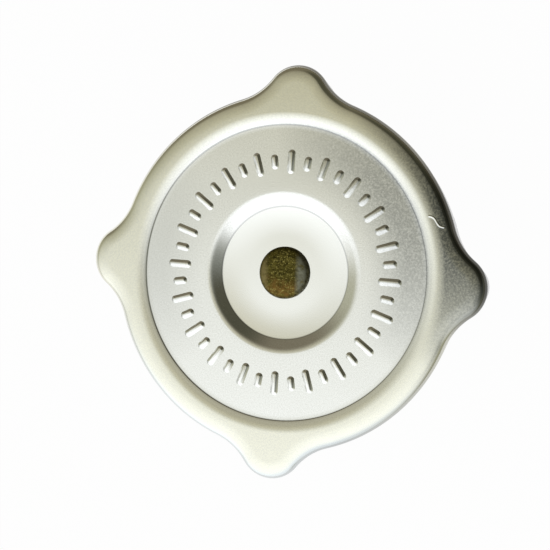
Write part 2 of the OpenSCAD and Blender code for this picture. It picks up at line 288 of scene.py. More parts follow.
def make_piece(
    name: str, surface: Surface, material: Material, body: Body, slot: Slot, *nodes: str
) -> bpy.types.Object:
    """Puts a skin into Blender as a piece that rides on a body.

    Args:
        name: Name of the piece.
        surface: Its skin.
        material: Its finish.
        body: The body that it moves with.
        slot: The record's slot of its finish; not used.
        nodes: Frame nodes that it stands for.

    Returns:
        The piece's object, at the origin.
    """
    mesh = bpy.data.meshes.new(name)
    faces = [corner for kind in surface.faces for corner in kind.tolist()]
    mesh.from_pydata((surface.points * MM).tolist(), [], faces)
    mesh.shade_smooth()
    mesh.set_sharp_from_angle(angle=math.radians(SHARP_ANGLE))
    mesh.materials.append(material)
    piece = bpy.data.objects.new(name, mesh)
    bpy.context.scene.collection.objects.link(piece)
    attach(piece, body.value)
    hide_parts(*nodes)
    LOG.info("%s: %d points, rides on %s", name, len(surface.points), body.value)
    return piece


# Finishes


class Graph:
    """A node tree that starts empty."""

    def __init__(self, tree: bpy.types.NodeTree) -> None:
        """Empties the tree."""
        self.tree = tree
        tree.nodes.clear()

    def add(self, kind: str, inputs: dict[Any, Any] | None = None, **settings: Any) -> Outputs:
        """Adds a node with its settings and links.

        Args:
            kind: Blender's name of the node's type, after ShaderNode.
            inputs: A value for each input, or the output socket that is linked to it.
            settings: The node's own properties.

        Returns:
            The node's outputs.
        """
        node = self.tree.nodes.new("ShaderNode" + kind)
        for key, value in settings.items():
            setattr(node, key, value)
        for key, value in (inputs or {}).items():
            if isinstance(value, bpy.types.NodeSocket):
                self.tree.links.new(value, node.inputs[key])
            else:
                node.inputs[key].default_value = value
        return node.outputs


@dataclass(frozen=True)
class Finish:
    """A finish that makes one material."""

    name: str

    def shader(self, graph: Graph) -> Socket:
        """Builds the nodes up to the surface shader."""
        raise NotImplementedError

    def material(self) -> Material:
        """Makes the material.

        Returns:
            The new material, with its nodes.
        """
        material = bpy.data.materials.new(self.name)
        material.use_nodes = True
        graph = Graph(material.node_tree)
        graph.add("OutputMaterial", {"Surface": self.shader(graph)})
        return material


@dataclass(frozen=True)
class DrawnMetal(Finish):
    """Bare or thinly plated metal of the valve: blurred reflections with faint patches of tarnish."""

    bright: str = "#C3C4C4"
    tarnish: str = "#A9A8A1"
    roughness: float = 0.3
    tarnish_roughness: float = 0.44
    tarnish_size: float = 3.5
    tarnish_from: float = 0.42
    tarnish_to: float = 0.7
    grain: float = 0.25
    grain_height: float = 0.003

    def coloured(self, graph: Graph, place: Socket, tarnished: Socket) -> Socket:
        """Colour of the metal: bright, mixed with tarnish by its share."""
        inputs = {0: tarnished, 6: linear(self.bright), 7: linear(self.tarnish)}
        return graph.add("Mix", inputs, data_type="RGBA")[2]

    def marked(self, graph: Graph, place: Socket, colour: Socket) -> tuple[Socket, dict[str, Socket]]:
        """Colour with its marks, and their normal where there are any; this metal has none."""
        return colour, {}

    def shader(self, graph: Graph) -> Socket:
        """Builds bare metal with a fine grain.

        The share of tarnish is cloudy noise, cut to 0 and 1 at its two levels, and roughness follows it.

        Args:
            graph: The material's tree.

        Returns:
            The shader.
        """
        place = graph.add("TexCoord")["Object"]
        inputs = {"Vector": place, "Scale": per_metre(self.tarnish_size), "Detail": 5.0, "Roughness": 0.62}
        clouds = graph.add("TexNoise", inputs)["Fac"]
        inputs = {"Value": clouds, "From Min": self.tarnish_from, "From Max": self.tarnish_to}
        tarnished = graph.add("MapRange", inputs)[0]
        colour, slow = self.marked(graph, place, self.coloured(graph, place, tarnished))
        inputs = {"Vector": place, "Scale": per_metre(self.grain), "Detail": 2.0, "Roughness": 0.6}
        grain = graph.add("TexNoise", inputs)["Fac"]
        inputs = {"Height": grain, "Distance": self.grain_height * MM, **slow}
        normal = graph.add("Bump", inputs)[0]
        inputs = {"Value": tarnished, "To Min": self.roughness, "To Max": self.tarnish_roughness}
        rough = graph.add("MapRange", inputs)[0]
        inputs = {"Base Color": colour, "Metallic": 1.0, "Roughness": rough, "Normal": normal}
        return graph.add("BsdfPrincipled", inputs)[0]


class Measure(Enum):
    """What a soft edge goes by; lengths are millimetres, and a direction is the zone's own."""

    REACH = "distance from the axis"
    HEIGHT = "height"
    FACING = "cosine between a point's spoke and the direction"
    ALONG = "way from the axis along the direction"
    GRAIN = "fine noise"
    MOTTLE = "coarser noise"
    TARNISH = "share of tarnish"


@dataclass(frozen=True)
class Fade:
    """A soft edge: a share that goes from 0 to 1 while a measure goes from start to stop."""

    measure: Measure
    start: float
    stop: float


@dataclass(frozen=True)
class Zone:
    """A part of a surface with its own colour, as strong as its share times its soft edges."""

    name: str
    colour: str
    edges: tuple[Fade, ...]
    share: float = 1.0
    towards: float = 0.0


@dataclass(frozen=True)
class LayeredMetal(DrawnMetal):
    """Metal whose zones of wear and dirt lie over each other."""

    speck: float = 0.25
    mottle: float = 0.36
    noise_roughness: float = 0.6

    def zones(self) -> tuple[Zone, ...]:
        """The zones, the lowest first."""
        raise NotImplementedError

    def coloured(self, graph: Graph, place: Socket, tarnished: Socket) -> Socket:
        """Lays the zones over the bright metal; each mixes its colour in by its strength.

        Args:
            graph: The material's tree.
            place: Object coordinates.
            tarnished: Share of tarnish.

        Returns:
            The colour.
        """
        local = graph.add("VectorMath", {0: place, "Scale": 1 / MM}, operation="SCALE")[0]
        plan = graph.add("VectorMath", {0: local, 1: (1, 1, 0)}, operation="MULTIPLY")[0]
        noise = {"Vector": local, "Roughness": self.noise_roughness}
        grain = {**noise, "Scale": 1 / self.speck, "Detail": 1.0}
        mottle = {**noise, "Scale": 1 / self.mottle, "Detail": 2.0}
        shared = {
            Measure.REACH: graph.add("VectorMath", {0: plan}, operation="LENGTH")["Value"],
            Measure.GRAIN: graph.add("TexNoise", grain)["Fac"],
            Measure.MOTTLE: graph.add("TexNoise", mottle)["Fac"],
            Measure.TARNISH: tarnished,
        }
        colour: Any = linear(self.bright)
        for zone in self.zones():
            strength: Any = zone.share
            for edge in zone.edges:
                value = shared.get(edge.measure)
                if value is None:
                    aim = (0, 0, 1) if edge.measure is Measure.HEIGHT else (*direction(zone.towards), 0)
                    base = local
                    if edge.measure is Measure.FACING:
                        base = graph.add("VectorMath", {0: plan}, operation="NORMALIZE")[0]
                    value = graph.add("VectorMath", {0: base, 1: aim}, operation="DOT_PRODUCT")["Value"]
                inputs = {"Value": value, "From Min": edge.start, "From Max": edge.stop}
                inputs = {0: strength, 1: graph.add("MapRange", inputs)[0]}
                strength = graph.add("Math", inputs, operation="MULTIPLY")[0]
            inputs = {0: strength, 6: colour, 7: linear(zone.colour)}
            colour = graph.add("Mix", inputs, data_type="RGBA", label=zone.name)[2]
        return colour


@dataclass(frozen=True, kw_only=True)
class SatinPlatedSteel(LayeredMetal):
    """Pressed steel with a satin electroplated coat: soft reflections that break up into fine grain.

    The sheet waves a little, the sheltered dish is whiter and the rim yellower than the face. Handling has
    darkened one side of the ring and of the face beside it. A painted highlight tint lies on the roll's lit
    side, and painted shade lies in the creases and on the roll's outer edge, the brow and the skirt. One
    scratch shows bright metal. The real grain is finer than a pixel, so it is drawn about three times as
    coarse.
    """

    top_z: float
    crest_r: float
    step_r: float
    dish_r: float
    bright: str = "#F4F4F2"
    clean: str = "#F9F9F7"
    rim: str = "#EDEBDC"
    tarnish: str = "#D6D6D1"
    stain: str = "#6F7272"
    handled: str = "#5D6060"
    # painted shade: grey that darkens the creases and the roll's outer edge
    shade_grey: str = "#5F6266"
    # painted shade: dark colour on the brow and the skirt
    shade_dark: str = "#545148"
    scratched: str = "#FBFBF8"
    # painted highlight: a neutral tint that keeps the roll's highlight white on its lit side
    highlight_tint: str = "#E4E8E8"
    roughness: float = 0.15
    tarnish_roughness: float = 0.17
    tarnish_size: float = 6.0
    grain_height: float = 0.0022
    wave: float = 9.0
    wave_height: float = 0.007
    crease_w: float = 0.1
    crease_share: float = 0.4
    scratch_at: tuple[float, float] = (26.4, 10.8)
    scratch_towards: float = -31.0
    scratch_length: float = 3.3
    scratch_width: float = 0.28
    scratch_height: float = 0.045
    scratch_bow: float = 0.25

    def below(self, start: float, stop: float) -> Fade:
        """Soft edge between two depths under the top."""
        return Fade(Measure.HEIGHT, self.top_z - start, self.top_z - stop)

    def zones(self) -> tuple[Zone, ...]:
        """Lays out wear, dirt, a painted highlight and painted shade by the pressing's own radii and its
        top.

        Returns:
            The zones, the lowest first.
        """
        reach, facing, mottle = Measure.REACH, Measure.FACING, Measure.MOTTLE
        step_r, crest_r, dish_r = self.step_r, self.crest_r, self.dish_r
        rim = Fade(reach, step_r, crest_r - 0.15)
        dish = Fade(reach, dish_r + 0.2, dish_r)
        face_inner = Fade(reach, dish_r + 3.55, dish_r + 10.55)
        face_outer = Fade(reach, step_r + 0.5, step_r + 0.1)
        stain = (face_inner, face_outer, Fade(facing, 0.4, 0.98), Fade(mottle, -0.05, 0.6))
        dull = (face_inner, face_outer, Fade(facing, 0.7, 1.0))
        crown = Fade(reach, crest_r - 0.75, crest_r + 1.15)
        ring = (crown, self.below(0.43, 0.13), Fade(facing, 0.66, 1.0), Fade(mottle, -0.45, 0.6))
        roll = (self.below(0.08, 0.28), rim)
        # painted shade on the roll's outer edge, towards the lower right
        edge = (self.below(0.1, 0.33), rim, Fade(facing, 0.6, 0.96))
        # painted shade on the brow and on the skirt below the rim
        brow = (self.below(0.48, 0.68), rim, Fade(facing, 0.55, 0.95))
        skirt = (self.below(0.3, 0.56), rim, Fade(facing, 0.5, 0.9))
        # painted shade: the dish's and the step's creases are darkened in colour
        creases = []
        for radius in (dish_r + 0.01, step_r - 0.06):
            inner = Fade(reach, radius - 2 * self.crease_w, radius - self.crease_w / 2)
            outer = Fade(reach, radius + 2 * self.crease_w, radius + self.crease_w / 2)
            creases.append(Zone("painted crease shade", self.shade_grey, (inner, outer), self.crease_share))
        return (
            Zone("yellow rim", self.rim, (rim,)),
            Zone("grain", self.tarnish, (Fade(Measure.GRAIN, 0.3, 0.7),), share=0.42),
            Zone("clean dish", self.clean, (dish,)),
            Zone("stained face", self.stain, stain, share=0.62, towards=31),
            Zone("dull face", self.stain, dull, share=0.18, towards=180),
            Zone("handled ring", self.handled, ring, towards=21),
            Zone("handled roll", self.handled, (*roll, Fade(facing, 0.865, 0.97)), towards=14),
            # painted highlight: the roll's side towards the key light takes a neutral tint, so its
            # highlight shows white
            Zone("painted highlight roll", self.highlight_tint, (*roll, Fade(facing, 0.3, 0.85)), towards=258),
            # painted shade: the roll's outer edge darkened where it faces the shaded floor
            Zone("painted shade edge", self.shade_grey, edge, share=0.38, towards=312),
            # painted shade: the brow and the skirt are darkened in colour
            Zone("painted shade brow", self.shade_dark, brow, share=0.82, towards=105),
            Zone("painted shade skirt", self.shade_dark, skirt, share=0.78, towards=40),
            *creases,
        )

    def marked(self, graph: Graph, place: Socket, colour: Socket) -> tuple[Socket, dict[str, Socket]]:
        """Scratches the coat and lets the sheet wave.

        Along its direction the scratch runs for its length, and across it bows like a sine of the way. Its
        share is a product of two soft edges, along and across.

        Args:
            graph: The material's tree.
            place: Object coordinates.
            colour: Colour of the coat.

        Returns:
            The colour with the scratch, and the normal of the waves and the scratch.
        """
        inputs = {0: place, 1: (1 / MM, 1 / MM, 0)}
        plan = graph.add("VectorMath", inputs, operation="MULTIPLY")[0]
        inputs = {0: plan, 1: (*self.scratch_at, 0)}
        start = graph.add("VectorMath", inputs, operation="SUBTRACT")[0]
        way = []
        for turn in (0, 90):
            inputs = {0: start, 1: (*direction(self.scratch_towards + turn), 0)}
            way.append(graph.add("VectorMath", inputs, operation="DOT_PRODUCT")["Value"])
        inputs = {0: way[0], 1: 2 * math.pi / self.scratch_length}
        phase = graph.add("Math", inputs, operation="MULTIPLY")[0]
        swing = graph.add("Math", {0: phase}, operation="SINE")[0]
        inputs = {0: swing, 1: self.scratch_bow, 2: way[1]}
        bow = graph.add("Math", inputs, operation="MULTIPLY_ADD")[0]
        soft = self.scratch_width / 3
        burr: Any = 1.0
        for value, half in ((way[0], self.scratch_length / 2), (bow, self.scratch_width / 2)):
            size = graph.add("Math", {0: value}, operation="ABSOLUTE")[0]
            inputs = {"Value": size, "From Min": half + soft, "From Max": half - soft}
            inputs = {0: burr, 1: graph.add("MapRange", inputs)[0]}
            burr = graph.add("Math", inputs, operation="MULTIPLY")[0]
        inputs = {0: burr, 6: colour, 7: linear(self.scratched)}
        colour = graph.add("Mix", inputs, data_type="RGBA", label="scratch")[2]
        inputs = {"Vector": place, "Scale": per_metre(self.wave), "Detail": 1.0, "Roughness": 0.6}
        waves = graph.add("TexNoise", inputs)["Fac"]
        slow: dict[str, Socket] = {}
        for relief, depth in ((waves, self.wave_height), (burr, self.scratch_height)):
            inputs = {"Height": relief, "Distance": depth * MM, **slow}
            slow = {"Normal": graph.add("Bump", inputs)[0]}
        return colour, slow


@dataclass(frozen=True)
class AgedBrass(LayeredMetal):
    """Old riveted brass: an olive crust with light specks and rust; painted light makes its lower side and
    left end lighter, and painted shade greys its right end.

    The specks are drawn coarser than the real grit, which is too fine to show.
    """

    bright: str = "#625A29"
    tarnish: str = "#332F12"
    # rust patches, also lighter as painted light on the lower side
    rust_and_lit_side: str = "#765C2E"
    light: str = "#9A8F54"
    # painted shade: grey crescent for the head's right flank in shade
    shaded_flank_grey: str = "#7E7E6E"
    # painted light: lighter beige at the head's lit left end
    lit_beige_end: str = "#83774E"
    roughness: float = 0.42
    tarnish_roughness: float = 0.6
    tarnish_size: float = 0.45
    tarnish_from: float = 0.38
    tarnish_to: float = 0.66
    grain: float = 0.3
    grain_height: float = 0.03
    speck: float = 0.26
    mottle: float = 0.9
    noise_roughness: float = 0.5

    def zones(self) -> tuple[Zone, ...]:
        """Lays out tarnish, rust with painted light, specks, the painted lit and shaded ends and a dark
        edge.

        Returns:
            The zones, the lowest first.
        """
        along, mottle = Measure.ALONG, Measure.MOTTLE
        # rust, with painted light: the head's lower side is lighter
        rust_and_lit_side = (Fade(along, 0.5, 2.2), Fade(mottle, 0.36, 0.6))
        # painted shade on the head's right end
        shaded_flank_grey = (Fade(along, 2.1, 3.0), Fade(mottle, 0.2, 0.45))
        # painted light on the head's left end
        lit_beige_end = (Fade(along, 2.5, 3.4), Fade(mottle, 0.2, 0.5))
        edge = (Fade(Measure.REACH, 3.8, 4.3), Fade(Measure.TARNISH, -1, 1))
        return (
            Zone("tarnish", self.tarnish, (Fade(Measure.TARNISH, 0, 1),)),
            Zone("rust_and_lit_side", self.rust_and_lit_side, rust_and_lit_side, towards=262),
            Zone("specks", self.light, (Fade(Measure.GRAIN, 0.56, 0.7),)),
            Zone("painted shade end", self.shaded_flank_grey, shaded_flank_grey, towards=2),
            Zone("painted light end", self.lit_beige_end, lit_beige_end, towards=184),
            Zone("dark edge", self.tarnish, edge),
        )


@dataclass(frozen=True)
class MouldedRubber(Finish):
    """Moulded black nitrile rubber: matt charcoal with a dusty bloom and a fine mould texture."""

    black: str = "#1B1B1C"
    bloom: str = "#38383A"
    roughness: float = 0.62
    shine: float = 0.4
    bloom_size: float = 2.2
    bloom_from: float = 0.45
    bloom_to: float = 0.75
    pore: float = 0.25
    pore_depth: float = 0.006

    def shader(self, graph: Graph) -> Socket:
        """Builds a matt dielectric with bloom in its colour and pores in its normal.

        Args:
            graph: The material's tree.

        Returns:
            The shader.
        """
        place = graph.add("TexCoord")["Object"]
        inputs = {"Vector": place, "Scale": per_metre(self.bloom_size), "Detail": 4.0, "Roughness": 0.6}
        clouds = graph.add("TexNoise", inputs)["Fac"]
        inputs = {"Value": clouds, "From Min": self.bloom_from, "From Max": self.bloom_to}
        share = graph.add("MapRange", inputs)[0]
        inputs = {0: share, 6: linear(self.black), 7: linear(self.bloom)}
        colour = graph.add("Mix", inputs, data_type="RGBA")[2]
        inputs = {"Vector": place, "Scale": per_metre(self.pore), "Detail": 2.0}
        pores = graph.add("TexNoise", inputs)["Fac"]
        inputs = {"Height": pores, "Strength": 1.0, "Distance": self.pore_depth * MM}
        normal = graph.add("Bump", inputs)[0]
        inputs = {"Base Color": colour, "Roughness": self.roughness, "Specular IOR Level": self.shine}
        return graph.add("BsdfPrincipled", {**inputs, "Normal": normal})[0]


@dataclass(frozen=True)
class WhitePaper(Finish):
    """Matt white paper under soft light: a clean pale ground that keeps a faint shadow.

    It shines at strength 1 for camera, glossy and transmission rays over most of its look, and the rest is
    its own lit surface. From below it is clear, so that the underside can be seen.
    """

    white: str = "#F4F1F1"
    glow: str = "#FFFFFF"
    glow_share: float = 0.975

    def shader(self, graph: Graph) -> Socket:
        """Builds a lit sheet that a glow of strength 1 covers for the rays that show it.

        Args:
            graph: The material's tree.

        Returns:
            The shader.
        """
        path = graph.add("LightPath")
        shown = path["Is Camera Ray"]
        for name in ("Is Glossy Ray", "Is Transmission Ray"):
            shown = graph.add("Math", {0: shown, 1: path[name]}, operation="ADD", use_clamp=True)[0]
        share = graph.add("Math", {0: shown, 1: self.glow_share}, operation="MULTIPLY")[0]
        sheet = graph.add("BsdfDiffuse", {"Color": linear(self.white)})[0]
        glow = graph.add("Emission", {"Color": linear(self.glow), "Strength": 1.0})[0]
        top = graph.add("MixShader", {0: share, 1: sheet, 2: glow})[0]
        clear = graph.add("BsdfTransparent")[0]
        side = graph.add("NewGeometry")["Backfacing"]
        return graph.add("MixShader", {0: side, 1: top, 2: clear})[0]


# The cap's sub-assemblies


@dataclass
class CapShell:
    """The lobed shell: dish, face, rolled rim, skirt, two folded lugs and a ring of raised ribs."""

    lobes: int = 4
    lobe_stand: float = 4.7
    lobe_tip_r: float = 5.8
    lobe_flank_r: float = 11.0
    roll_r: float = 1.3
    crown_r: float = 14.0
    crown_angle: float = 8.0
    skirt_draw: float = 1.8
    thickness: float = 0.9
    crown_w: float = 0.28
    face_depth: float = 0.43
    face_step: float = 0.16
    step_w: float = 0.05
    shoulder_w: float = 2.15
    shoulder_lean: float = 10.2
    dish_r: float = 11.45
    dish_depth: float = 1.05
    dish_wall_w: float = 2.6
    dish_lean: float = 23.5
    band_w: float = 2.75
    band_rise: float = 0.2
    band_bend: float = 60.0
    corner_bend: float = 0.3
    step_bend: float = 0.08
    edge: float = 0.15
    hole_r: float = 3.05
    lug_span: float = 40.0
    lug_reach: float = 2.3
    lug_fold_r: float = 1.8
    lug_relief: float = 0.8
    lug_lap: float = 0.5
    lug_inset: float = 0.1
    lug_columns: int = 41
    cut_gap: float = 0.25
    rib_count: int = 40
    rib_sides: int = 16
    rib_inner_r: float = 17.0
    rib_long: float = 4.2
    rib_short: float = 2.6
    rib_w: float = 1.4
    rib_h: float = 0.38
    rib_slope: float = 42.0
    rib_round: float = 0.15
    rib_soft: float = 0.96
    rib_sunk: float = 0.3
    top_z: float = field(init=False)
    skirt_z: float = field(init=False)
    rim_r: float = field(init=False)

    def __post_init__(self) -> None:
        """Takes the outer sizes from the frame and works out the rest."""
        low, high = box_mm("cap_shell")
        self.top_z, self.skirt_z = float(high[2]), float(low[2])
        self.rim_r = float(high[0]) - self.lobe_stand
        self.face_z = self.top_z - self.face_depth
        self.floor_z = self.face_z - self.dish_depth
        lean = math.radians(self.crown_angle)
        self.roll_w = self.roll_r * (1 - math.sin(lean)) + self.crown_r * math.sin(lean)
        self.roll_z = self.top_z - self.crown_r * (1 - math.cos(lean)) - self.roll_r * math.cos(lean)
        self.crest_r = self.rim_r - self.roll_w - self.crown_w
        self.step_r = self.crest_r - self.shoulder_w
        lean = math.radians(self.shoulder_lean)
        straight_w = (self.face_depth - self.face_step) / math.tan(lean)
        self.shoulder_bend = (self.shoulder_w - straight_w) / math.tan(lean / 2)
        lean = math.radians(self.dish_lean)
        straight_w = (self.dish_depth - self.band_rise) / math.tan(lean)
        self.dish_bend = (self.dish_wall_w - straight_w) / math.tan(lean / 2)
        self.dish_out_r = self.dish_r + self.dish_wall_w
        self.lug_middle = 180 / self.lobes
        self.cut_half = self.lug_span / 2 + math.degrees(self.lug_relief / self.rim_r)

    def skirt_r(self, z: float) -> float:
        """Radius of the skirt's outer face at a height: it leans in evenly below the roll."""
        return self.rim_r - self.skirt_draw * (self.roll_z - z) / (self.roll_z - self.skirt_z)

    def outline(self) -> tuple[Array, Array]:
        """Works out the lobed outline of the rim.

        Half a lobe is a rim arc about the axis, a hollow flank arc and a tip arc, each tangent to the next;
        the law of cosines gives the flank centre's angle. The half is mirrored and turned for all lobes.
        Two columns stand close together, a gap each way, at each end of a lug's cut.

        Returns:
            Points of the outline, anticlockwise, and the outward normals there.
        """
        tip = self.rim_r + self.lobe_stand - self.lobe_tip_r
        flank = self.rim_r + self.lobe_flank_r
        reach = self.lobe_tip_r + self.lobe_flank_r
        flank_at = math.degrees(math.acos((flank**2 + tip**2 - reach**2) / (2 * flank * tip)))
        centre = flank * direction(flank_at)
        tip_half = math.degrees(math.atan2(centre[1], centre[0] - tip))
        cut = self.lug_middle - self.cut_half
        within = np.linspace(self.lug_middle, cut + self.cut_gap, num=24)
        beside = np.linspace(cut - self.cut_gap, flank_at, num=5)[:-1]
        rim = np.concatenate([within, beside])
        hollow = 180 + np.linspace(flank_at, tip_half, num=15)[:-1]
        nose = np.linspace(tip_half, 0, num=15)
        normal = np.vstack([direction(rim), -direction(hollow), direction(nose)])
        rim_arc = self.rim_r * direction(rim)
        flank_arc = centre + self.lobe_flank_r * direction(hollow)
        tip_arc = np.array([tip, 0]) + self.lobe_tip_r * direction(nose)
        half = np.stack([np.vstack([rim_arc, flank_arc, tip_arc]), normal])
        lobe = np.concatenate([half * [1, -1], half[:, -2:0:-1]], axis=1)
        turn = np.radians(np.arange(self.lobes) * 360 / self.lobes)
        matrix = np.array([[np.cos(turn), np.sin(turn)], [-np.sin(turn), np.cos(turn)]])
        whole = np.einsum("anj,jil->alni", lobe, matrix).reshape(2, -1, 2)
        return whole[0], whole[1]

    def upper_face(self, steps: int, chord: float) -> Array:
        """Draws the sheet's upper face between two lobes, from the rivet hole to the skirt's lower edge.

        Flat floor, rising band, dish wall and its bend, flat face, step, shoulder and its bend, crown, two
        roll arcs and the skirt. A bend's tangents are its radius times the tangent of half its turn.

        Args:
            steps: Chords per arc.
            chord: Longest chord of a flat stretch.

        Returns:
            Points (r, z).
        """
        dish_centre = (self.dish_out_r, self.face_z - self.dish_bend)
        dish_wall = arc(dish_centre, self.dish_bend, 90 + self.dish_lean, 90, steps)
        shoulder_centre = (self.crest_r, self.top_z - self.shoulder_bend)
        shoulder = arc(shoulder_centre, self.shoulder_bend, 90 + self.shoulder_lean, 90, steps)
        crown_centre = (self.rim_r - self.roll_w, self.top_z - self.crown_r)
        crown = arc(crown_centre, self.crown_r, 90, 90 - self.crown_angle, steps // 2)
        roll = arc((self.rim_r - self.roll_r, self.roll_z), self.roll_r, 90 - self.crown_angle, 0, steps)
        floor_start = (self.hole_r, self.floor_z)
        band_start = (self.dish_r - self.band_w, self.floor_z)
        dish_foot = (self.dish_r, self.floor_z + self.band_rise)
        corners = [floor_start, band_start, dish_foot, dish_wall[0]]
        floor = filleted(corners, [self.band_bend, self.corner_bend], steps // 2)
        step_top = (self.step_r, self.face_z + self.face_step)
        step_foot = (self.step_r - self.step_w, self.face_z)
        corners = [dish_wall[-1], step_foot, step_top, shoulder[0]]
        face = filleted(corners, [self.step_bend, self.step_bend], steps // 2)
        foot = np.array([[self.rim_r - self.skirt_draw, self.skirt_z]])
        path = np.vstack([floor, dish_wall[1:], face[1:], shoulder[1:], crown, roll[1:], foot])
        return subdivided(path, chord)

    def section(self) -> Array:
        """Closes the sheet's section: upper face, lower edge, under face and the edge of the hole.

        Returns:
            Points (r, z).
        """
        upper = self.upper_face(steps=14, chord=0.8)
        under = moved_right(self.upper_face(steps=6, chord=1.6), self.thickness)
        foot = [upper[-2], upper[-1], under[-1], under[-2]]
        hole = [under[1], under[0], upper[0], upper[1]]
        cut = filleted(foot, [self.edge, self.edge], steps=3)[1:-1]
        bore = filleted(hole, [self.edge, self.edge], steps=3)[1:-1]
        return np.vstack([upper[1:-1], cut, under[-2:0:-1], bore])

    def sheet(self) -> Surface:
        """Carries the section round the lobed outline.

        Inside the crest a point keeps its radius, and its columns even out towards the dish; outside it
        stands back from the outline, along its normal, by its distance from the rim; across the crown it is
        a mean of the two. Where a lug is cut free, the skirt's rows are lifted in proportion to their depth
        below the roll.

        Returns:
            The sheet's closed skin.
        """
        point, normal = self.outline()
        x, z = self.section().T
        root = point - self.roll_w * normal
        angle = np.degrees(np.unwrap(np.arctan2(root[:, 1], root[:, 0])))
        off = np.abs((angle - self.lug_middle + 90) % 180 - 90)
        cut = (off < self.cut_half).astype(float)[:, None]
        drop = np.clip((self.roll_z - z) / (self.roll_z - self.skirt_z), 0, 1)[None, :]
        lean = self.skirt_draw / (self.roll_z - self.skirt_z)
        lift = cut * drop * (x > self.crest_r) * self.lug_fold_r
        x, z = x[None, :] + lift * lean, z[None, :] + lift
        share = np.clip((x - self.crest_r) / self.crown_w, 0, 1)[..., None]
        even = (angle[0] + np.arange(len(angle)) * 360 / len(angle))[:, None]
        spread = np.clip((x - self.dish_out_r) / (self.crest_r - self.dish_out_r), 0, 1)
        spoke = direction(even + spread * (angle[:, None] - even))
        inside = np.minimum(x, self.crest_r)[..., None] * spoke
        depth = np.minimum(self.rim_r - x, self.roll_w)[..., None]
        outside = point[:, None] - depth * normal[:, None]
        around = (1 - share) * inside + share * outside
        return Surface.grid(around, z, closed_rows=True)

    def lug(self, middle: float) -> Surface:
        """Turns a folded sheet section about the axis through a lug's span.

        The sheet's second face is the first moved by the thickness, so the fold's radius shrinks by it.

        Args:
            middle: Angle of the lug's middle.

        Returns:
            The lug's closed skin.
        """
        start_z = self.skirt_z + self.lug_fold_r + self.lug_lap
        fold_r = self.skirt_r(self.skirt_z) - self.lug_inset
        inner_r = self.rim_r - self.skirt_draw - self.thickness - self.lug_reach
        start_r = self.skirt_r(start_z) - self.lug_inset
        path = [(start_r, start_z), (fold_r, self.skirt_z), (inner_r, self.skirt_z)]
        corners = np.vstack([path, moved_right(np.array(path), self.thickness)[::-1]])
        bends = (self.lug_fold_r, self.lug_fold_r - self.thickness)
        radii = [radius for bend in bends for radius in (self.edge, bend, self.edge)]
        section = filleted(corners, radii, steps=8, closed=True)
        spoke = direction(middle + np.linspace(-0.5, 0.5, self.lug_columns) * self.lug_span)
        around = section[None, :, :1] * spoke[:, None]
        return Surface.grid(around, section[None, :, 1], closed_rows=False)

    def ribs(self) -> list[Surface]:
        """Stands long and short ribs in turn round the face.

        A rib is a pill outline, two half circles on a radial line, drawn in rings: the edge of its flat
        top, the start of a bevel of one slope, its end on the face and a foot sunk under the face.

        Returns:
            One closed skin for each rib.
        """
        ring = direction(np.arange(self.rib_sides) * 360 / self.rib_sides)
        bevel = self.rib_h / math.tan(math.radians(self.rib_slope)) / (self.rib_w / 2)
        fall = 1 + bevel * np.array([-1 - self.rib_round, -1, 0, self.rib_sunk])
        height = self.rib_h * np.array([1, self.rib_soft, 0, -self.rib_sunk])
        skins = []
        for index in range(self.rib_count):
            length = self.rib_long if index % 2 == 0 else self.rib_short
            straight = np.where(ring[:, 0] >= 0, 0.5, -0.5) * (length - self.rib_w)
            middle_r = self.rib_inner_r + self.rib_long / 2
            along = middle_r + straight[None, :] + fall[:, None] * ring[None, :, 0] * self.rib_w / 2
            across = fall[:, None] * ring[None, :, 1] * self.rib_w / 2
            spoke = direction(index * 360 / self.rib_count)
            side = np.array([-spoke[1], spoke[0]])
            flat = along[..., None] * spoke + across[..., None] * side
            skins.append(Surface.grid(flat, self.face_z + height[:, None], closed_rows=False))
        return skins

    def build(self, material: Material) -> None:
        """Makes the shell as one piece."""
        skins = [self.sheet(), self.lug(self.lug_middle), self.lug(self.lug_middle + 180), *self.ribs()]
        make_piece("lobed_shell", Surface.joined(skins), material, Body.SHELL, Slot.PLATED, "cap_shell")


